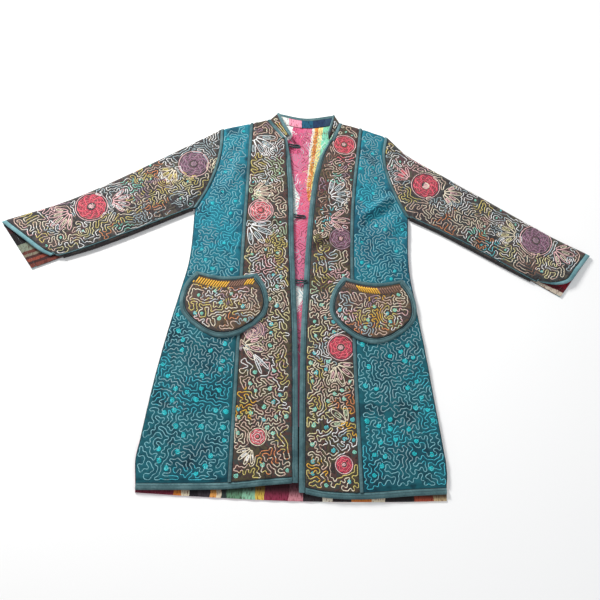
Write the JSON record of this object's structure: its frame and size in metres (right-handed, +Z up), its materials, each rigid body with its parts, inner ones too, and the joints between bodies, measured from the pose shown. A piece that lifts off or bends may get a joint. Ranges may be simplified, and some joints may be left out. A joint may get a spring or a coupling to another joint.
{
  "type": "quilted jacket",
  "caption": "Knee-length quilted coat with a stand collar, bound edges and curved patch pockets, open down the front and laid out flat with its sleeves spread.",
  "frame": {"origin": "on the underside of the back, on the centre line, 460 mm above the front hem line", "axes": "+X to the right as seen from above with the collar at the top, +Y from the hem to the collar, +Z up from the surface the coat lies on"},
  "size_m": [1.3903, 0.9376, 0.0229],
  "materials": {
    "teal_quilting": "matte cotton, quilted with pale and turquoise chain stitch",
    "embroidered_band": "matte dark cotton under dense multicoloured chain stitch",
    "embroidered_sleeve": "matte dark cotton under dense multicoloured chain stitch",
    "pocket_cloth": "matte dark cotton under golden and orange chain stitch",
    "striped_lining": "matte striped cotton, the quilting's inner face",
    "collar_cloth": "matte dark cotton under yellow and cream chain stitch",
    "binding_cloth": "matte plain-weave cotton, bias cut",
    "loop_tape": "matte folded cotton tape"
  },
  "bodies": {
    "root": {"back": "striped_lining", "collar": "collar_cloth", "collar_top_binding": "binding_cloth", "side_front_left": "teal_quilting", "band_left": "embroidered_band", "sleeve_left": "embroidered_sleeve", "pocket_left": "pocket_cloth", "seam_strip_left": "binding_cloth", "front_binding_left": "binding_cloth", "hem_binding_left": "binding_cloth", "collar_base_binding_left": "binding_cloth", "pocket_edge_binding_left": "binding_cloth", "pocket_mouth_binding_left": "binding_cloth", "cuff_binding_left": "binding_cloth", "sleeve_seam_binding_left": "binding_cloth", "armhole_strip_left": "binding_cloth", "side_front_right": "teal_quilting", "band_right": "embroidered_band", "sleeve_right": "embroidered_sleeve", "pocket_right": "pocket_cloth", "seam_strip_right": "binding_cloth", "front_binding_right": "binding_cloth", "hem_binding_right": "binding_cloth", "collar_base_binding_right": "binding_cloth", "pocket_edge_binding_right": "binding_cloth", "pocket_mouth_binding_right": "binding_cloth", "cuff_binding_right": "binding_cloth", "sleeve_seam_binding_right": "binding_cloth", "armhole_strip_right": "binding_cloth", "loop_top": "loop_tape", "loop_middle": "loop_tape", "loop_lower": "loop_tape"}
  },
  "joints": []
}
